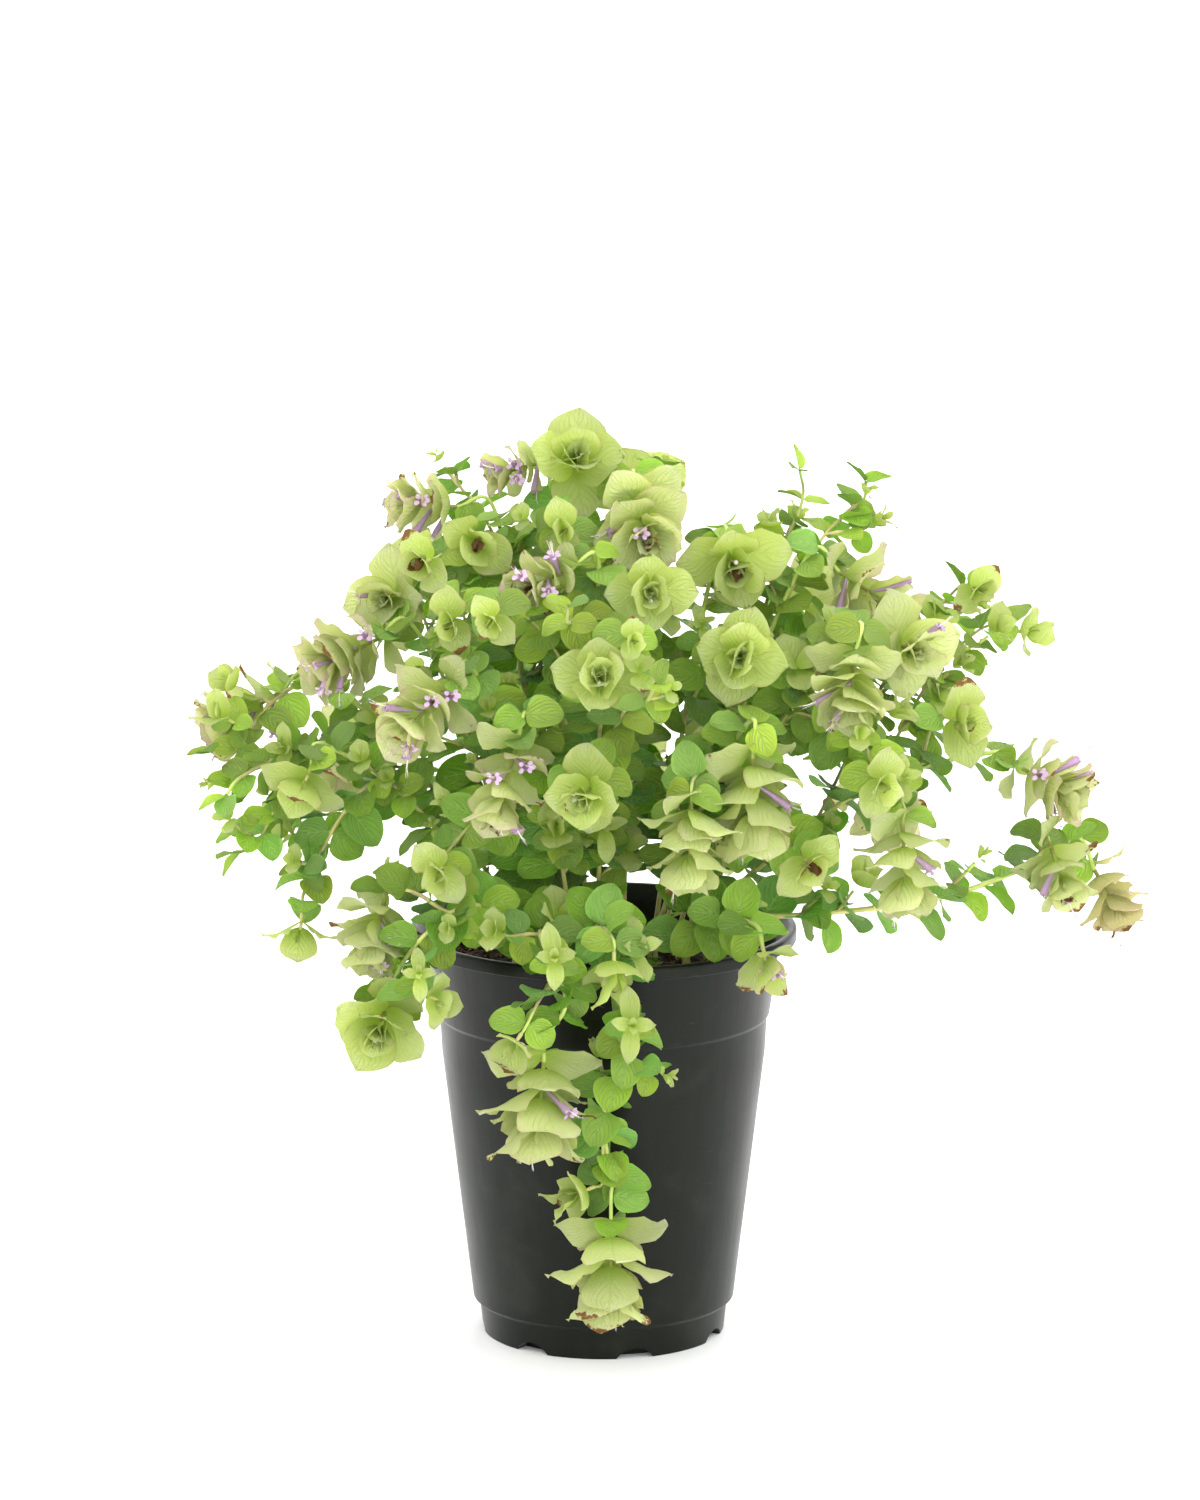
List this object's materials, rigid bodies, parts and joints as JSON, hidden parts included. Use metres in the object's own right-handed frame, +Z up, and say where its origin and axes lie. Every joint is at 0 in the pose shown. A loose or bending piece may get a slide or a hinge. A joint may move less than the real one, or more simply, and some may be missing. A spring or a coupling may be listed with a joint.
{
  "type": "potted herb",
  "caption": "Ornamental oregano in a black nursery can, with round leaves on square stems and hanging hop-like heads of pale lime bracts",
  "frame": {"origin": "centre of the pot's underside, on the surface it stands on", "axes": "+Z up along the pot's axis, -Y towards the viewer of the picture, +X to the viewer's right"},
  "size_m": [0.4082, 0.3194, 0.4017],
  "materials": {
    "pot_plastic": "satin",
    "soil": "matte",
    "leaf_green": "matte",
    "bract_pale": "matte",
    "bract_lime": "matte",
    "bract_pink": "matte",
    "bract_dry": "matte",
    "floret_lilac": "matte",
    "stem_tan": "matte"
  },
  "bodies": {
    "root": {"pot": "pot_plastic", "soil": "soil", "leafy_stem_crown": "leaf_green", "leafy_stem_high_centre": "leaf_green", "leafy_stem_high_left": "leaf_green", "leafy_stem_upper_side": "leaf_green", "leafy_stem_left": "leaf_green", "leafy_stem_far_left": "leaf_green", "leafy_stem_left_low": "leaf_green", "leafy_stem_left_mid": "leaf_green", "leafy_stem_centre": "leaf_green", "leafy_stem_centre_low": "leaf_green", "leafy_stem_left_rim": "leaf_green", "leafy_stem_trailing": "leaf_green", "leafy_stem_front_left": "leaf_green", "leafy_stem_right_centre": "leaf_green", "leafy_stem_right_rose": "leaf_green", "leafy_stem_upper_right": "leaf_green", "leafy_stem_right_mid": "leaf_green", "leafy_stem_right_reach": "leaf_green", "leafy_stem_far_right": "leaf_green", "leafy_stem_rim_right": "leaf_green", "leafy_stem_back_left": "leaf_green", "leafy_stem_back_middle": "leaf_green", "leafy_stem_back_right": "leaf_green", "bract_head_crown": "bract_lime", "bract_head_crown_side": "bract_pink", "bract_head_high_centre": "bract_pale", "bract_head_upper_rose": "bract_lime", "bract_head_high_left": "bract_pink", "bract_head_upper_side": "bract_pink", "bract_head_left_shoulder": "bract_pink", "bract_head_left_pale": "bract_pale", "bract_head_far_left": "bract_pink", "bract_head_left_mid": "bract_pink", "bract_head_centre_rose": "bract_lime", "bract_head_centre_side": "bract_pink", "bract_head_centre_cup": "bract_lime", "bract_head_left_rim": "bract_lime", "bract_head_left_low": "bract_pale", "bract_head_trail_end": "bract_pale", "bract_head_front_left": "bract_pale", "bract_head_right_centre": "bract_pale", "bract_head_centre_hop": "bract_pale", "bract_head_pale_right": "bract_lime", "bract_head_right_rose": "bract_lime", "bract_head_upper_right": "bract_pink", "bract_head_cream_right": "bract_pale", "bract_head_right_mid": "bract_pale", "bract_head_right_low": "bract_pale", "bract_head_right_reach": "bract_pink", "bract_head_far_right_dry": "bract_dry", "bract_head_far_right": "bract_pale", "bract_head_back_left_high": "bract_lime", "bract_head_back_left_low": "bract_pink", "bract_head_back_top": "bract_lime", "bract_head_back_middle": "bract_pale", "bract_head_back_right_high": "bract_pale", "bract_head_back_right_low": "bract_pink"}
  },
  "joints": []
}
